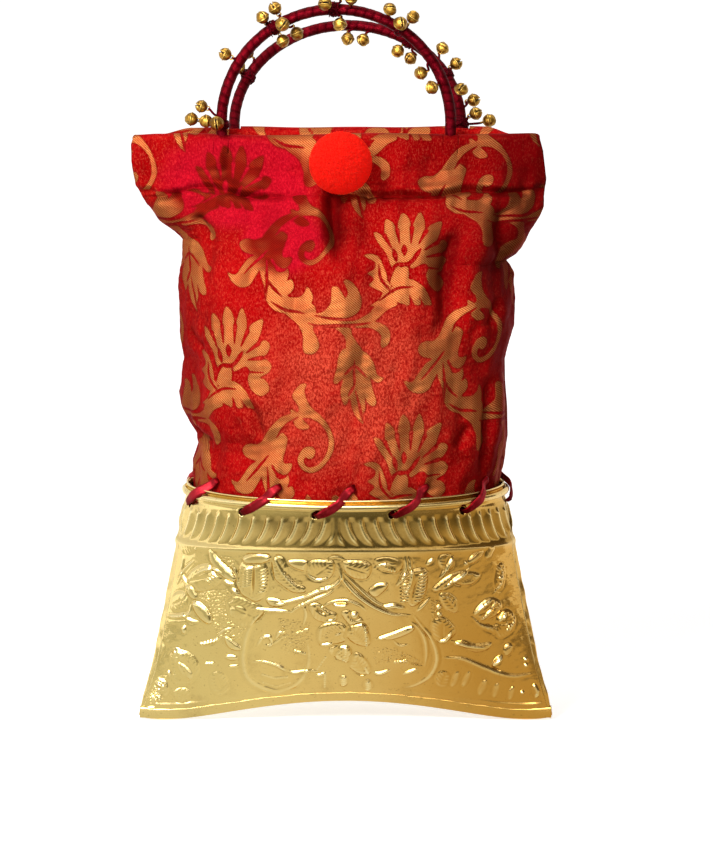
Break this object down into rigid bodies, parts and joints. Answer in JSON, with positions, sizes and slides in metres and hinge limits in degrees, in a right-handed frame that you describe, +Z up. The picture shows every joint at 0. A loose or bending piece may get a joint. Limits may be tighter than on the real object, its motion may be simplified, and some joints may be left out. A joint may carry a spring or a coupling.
{
  "type": "potli handbag",
  "caption": "Small evening bag: embossed brass base pinched flat at the foot, brocade body laced to its rim with ribbon, pompom at the mouth, wrapped ring handles with tiny bells.",
  "frame": {"origin": "the carrying point: over the middle of the bag, level with the top of the front handle's ring, 316 mm above the two foot corners", "axes": "+Z up, +Y from the front (pompom side) to the back, +X to the right as seen from the front"},
  "size_m": [0.1836, 0.0984, 0.3255],
  "materials": {
    "brass_embossed": "beaten relief, bright with dark recesses",
    "brass_plain": "polished sheet",
    "bell_brass": "antique, polished highlights",
    "brocade": "satin ground with metallic gold floral weave",
    "lining": "plain satin",
    "satin_ribbon": "glossy satin",
    "thread": "twisted thread",
    "wool": "trimmed yarn pile",
    "cane": "bare, hidden under the ribbon",
    "magnet_steel": "plated disc, hidden in the hem"
  },
  "bodies": {
    "bag_base": {"brass_front_panel": "brass_embossed", "brass_back_panel": "brass_embossed", "brass_side_gusset_left": "brass_plain", "brass_side_gusset_right": "brass_plain", "brass_rim_bead": "brass_plain", "brass_foot_strip": "brass_plain", "lacing_ribbon": "satin_ribbon", "brocade_lower_front": "brocade", "brocade_lower_back": "brocade", "lining_pocket": "lining"},
    "mouth_front": {"brocade_upper_front": "brocade", "lining_upper_front": "lining", "pompom": "wool", "magnet_front": "magnet_steel"},
    "mouth_back": {"brocade_upper_back": "brocade", "lining_upper_back": "lining", "magnet_back": "magnet_steel"},
    "handle_front": {"handle_core_front": "cane", "handle_wrap_front": "satin_ribbon", "thread_tie_front_top_left": "thread", "thread_tie_front_top": "thread", "thread_tie_front_top_right": "thread", "thread_tie_front_left_corner": "thread", "bell_front_01": "bell_brass", "bell_front_02": "bell_brass", "bell_front_03": "bell_brass", "bell_front_04": "bell_brass", "bell_front_05": "bell_brass", "bell_front_06": "bell_brass", "bell_front_07": "bell_brass", "bell_front_08": "bell_brass", "bell_front_09": "bell_brass", "bell_front_10": "bell_brass", "bell_front_11": "bell_brass", "bell_front_12": "bell_brass", "bell_front_13": "bell_brass", "bell_front_14": "bell_brass", "bell_front_15": "bell_brass", "bell_front_16": "bell_brass", "bell_front_17": "bell_brass", "bell_front_18": "bell_brass", "bell_front_19": "bell_brass"},
    "handle_back": {"handle_core_back": "cane", "handle_wrap_back": "satin_ribbon", "thread_tie_back_upper_right": "thread", "thread_tie_back_right": "thread", "thread_tie_back_left": "thread", "thread_tie_back_right_corner": "thread", "bell_back_01": "bell_brass", "bell_back_02": "bell_brass", "bell_back_03": "bell_brass", "bell_back_04": "bell_brass", "bell_back_05": "bell_brass", "bell_back_06": "bell_brass", "bell_back_07": "bell_brass", "bell_back_08": "bell_brass", "bell_back_09": "bell_brass", "bell_back_10": "bell_brass", "bell_back_11": "bell_brass", "bell_back_12": "bell_brass"}
  },
  "joints": [
    {"name": "mouth_front_open", "type": "hinge", "parent": "bag_base", "child": "mouth_front", "pos_m": [0, -0.0408, -0.14425], "axis": [1, 0, 0], "range_deg": [0, 14]},
    {"name": "mouth_back_open", "type": "hinge", "parent": "bag_base", "child": "mouth_back", "pos_m": [0, 0.0408, -0.14425], "axis": [-1, 0, 0], "range_deg": [0, 14]},
    {"name": "handle_front_swing", "type": "hinge", "parent": "mouth_front", "child": "handle_front", "pos_m": [-0.004, -0.00465, -0.0585], "axis": [1, 0, 0], "range_deg": [-6, 90]},
    {"name": "handle_back_swing", "type": "hinge", "parent": "mouth_back", "child": "handle_back", "pos_m": [0.001, 0.00465, -0.0585], "axis": [-1, 0, 0], "range_deg": [-18, 62]}
  ]
}
